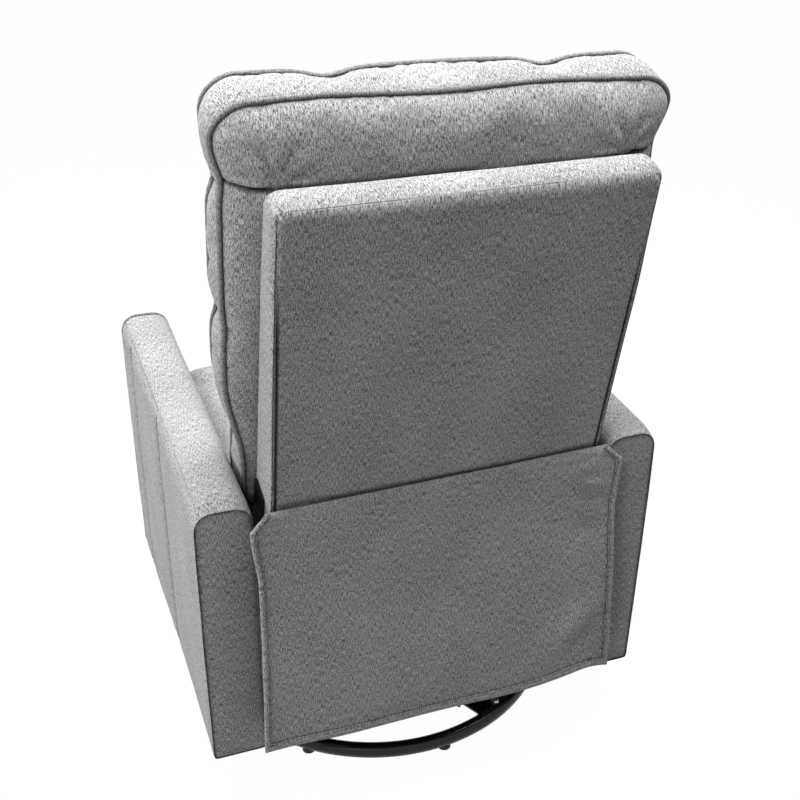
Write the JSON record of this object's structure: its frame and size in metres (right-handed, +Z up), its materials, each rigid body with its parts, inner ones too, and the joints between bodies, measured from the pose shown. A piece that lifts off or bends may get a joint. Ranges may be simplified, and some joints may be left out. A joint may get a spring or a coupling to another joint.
{
  "type": "swivel glider recliner",
  "caption": "Upholstered swivel glider recliner on a round tube base, with a hanging rear flap, a channelled back cushion, a reclining back and a fold-out leg rest.",
  "frame": {"origin": "centre of the chair's box on the floor, closed and upright", "axes": "+Z up, the chair's front faces -Y, +X is the sitter's left"},
  "size_m": [0.72, 0.739, 1.1318],
  "materials": {
    "grey_fabric": "heathered linen-look weave",
    "flap_fabric": "heathered linen-look weave",
    "piping_fabric": "heathered linen-look weave",
    "webbing": "woven strap",
    "black_steel": "semi-gloss black",
    "link_steel": "dark grey",
    "zinc_steel": "zinc plated",
    "ball_steel": "polished",
    "foot_rubber": "matt",
    "frame_wood": "bare pine and plywood",
    "black_plastic": "fine grain"
  },
  "bodies": {
    "base": {"base_ring": "black_steel", "base_cross": "black_steel", "foot_pads": "foot_rubber", "cross_bolts": "zinc_steel", "swivel_lower_plate": "black_steel", "swivel_bolts": "zinc_steel", "ball_cage": "zinc_steel", "bearing_balls": "ball_steel"},
    "turntable": {"swivel_upper_plate": "black_steel", "turntable_plate": "black_steel", "king_pin": "zinc_steel", "glide_brackets": "black_steel", "bracket_pins": "zinc_steel", "turntable_bolts": "zinc_steel"},
    "front_links": {"front_glide_links": "link_steel"},
    "rear_links": {"rear_glide_links": "link_steel"},
    "seat": {"chassis_rails": "black_steel", "rail_pins": "zinc_steel", "cross_tubes": "black_steel", "side_plates": "black_steel", "plate_screws": "zinc_steel", "seat_side_rails": "frame_wood", "seat_end_rails": "frame_wood", "seat_springs": "zinc_steel", "spring_clips": "zinc_steel", "seat_cushion": "grey_fabric", "arm_pad_left": "grey_fabric", "arm_pad_right": "grey_fabric", "arm_frame_left": "frame_wood", "arm_frame_right": "frame_wood", "arm_bolts": "zinc_steel", "recline_posts": "black_steel", "release_cup": "black_plastic", "release_cable": "black_plastic"},
    "paddle": {"release_paddle": "black_plastic"},
    "leg_upper": {"upper_leg_links": "link_steel", "torque_tube": "link_steel"},
    "leg_lift": {"lift_leg_links": "link_steel"},
    "leg_front": {"front_leg_links": "link_steel"},
    "leg_rest": {"leg_rest_brackets": "link_steel", "leg_rest_board": "frame_wood", "leg_rest_pad": "grey_fabric", "leg_rest_screws": "zinc_steel"},
    "back": {"back_cover": "grey_fabric", "back_frame": "frame_wood", "back_straps": "webbing", "recline_brackets": "black_steel", "recline_pins": "zinc_steel", "back_cushion": "grey_fabric", "back_piping": "piping_fabric"},
    "flap": {"rear_flap": "flap_fabric"}
  },
  "joints": [
    {"name": "swivel", "type": "hinge", "parent": "base", "child": "turntable", "pos_m": [0, -0.03452, 0.0294], "axis": [0, 0, 1], "continuous": true},
    {"name": "glide", "type": "hinge", "parent": "turntable", "child": "front_links", "pos_m": [0, -0.13452, 0.222], "axis": [1, 0, 0], "range_deg": [-18, 18]},
    {"name": "glide_level", "type": "hinge", "parent": "front_links", "child": "seat", "pos_m": [0, -0.13452, 0.112], "axis": [1, 0, 0], "range_deg": [-18, 18]},
    {"name": "glide_rear", "type": "hinge", "parent": "turntable", "child": "rear_links", "pos_m": [0, 0.06548, 0.222], "axis": [1, 0, 0], "range_deg": [-18, 18]},
    {"name": "leg_rest_open", "type": "hinge", "parent": "seat", "child": "leg_upper", "pos_m": [0, -0.26452, 0.272], "axis": [-1, 0, 0], "range_deg": [0, 74]},
    {"name": "leg_lift_turn", "type": "hinge", "parent": "leg_upper", "child": "leg_lift", "pos_m": [0, -0.27331, 0.18846], "axis": [-1, 0, 0], "range_deg": [-148, 0]},
    {"name": "leg_front_turn", "type": "hinge", "parent": "leg_upper", "child": "leg_front", "pos_m": [0, -0.28208, 0.10492], "axis": [-1, 0, 0], "range_deg": [-148, 0]},
    {"name": "leg_rest_tilt", "type": "hinge", "parent": "leg_lift", "child": "leg_rest", "pos_m": [0, -0.28208, 0.272], "axis": [-1, 0, 0], "range_deg": [0, 148]},
    {"name": "back_recline", "type": "hinge", "parent": "seat", "child": "back", "pos_m": [0, 0.17148, 0.438], "axis": [-1, 0, 0], "range_deg": [0, 30]},
    {"name": "flap_swing", "type": "hinge", "parent": "back", "child": "flap", "pos_m": [0, 0.28146, 0.568], "axis": [-1, 0, 0], "range_deg": [-30, 0]},
    {"name": "release_pull", "type": "hinge", "parent": "seat", "child": "paddle", "pos_m": [-0.3545, -0.15452, 0.457], "axis": [0, 1, 0], "range_deg": [0, 25], "stiffness_Nm_per_rad": 0.3}
  ],
  "couplings": [
    {"joint": "glide_level", "follows": "glide", "ratio": -1},
    {"joint": "glide_rear", "follows": "glide", "ratio": 1},
    {"joint": "leg_lift_turn", "follows": "leg_rest_open", "ratio": -2},
    {"joint": "leg_front_turn", "follows": "leg_rest_open", "ratio": -2},
    {"joint": "leg_rest_tilt", "follows": "leg_rest_open", "ratio": 2},
    {"joint": "flap_swing", "follows": "back_recline", "ratio": -1}
  ]
}
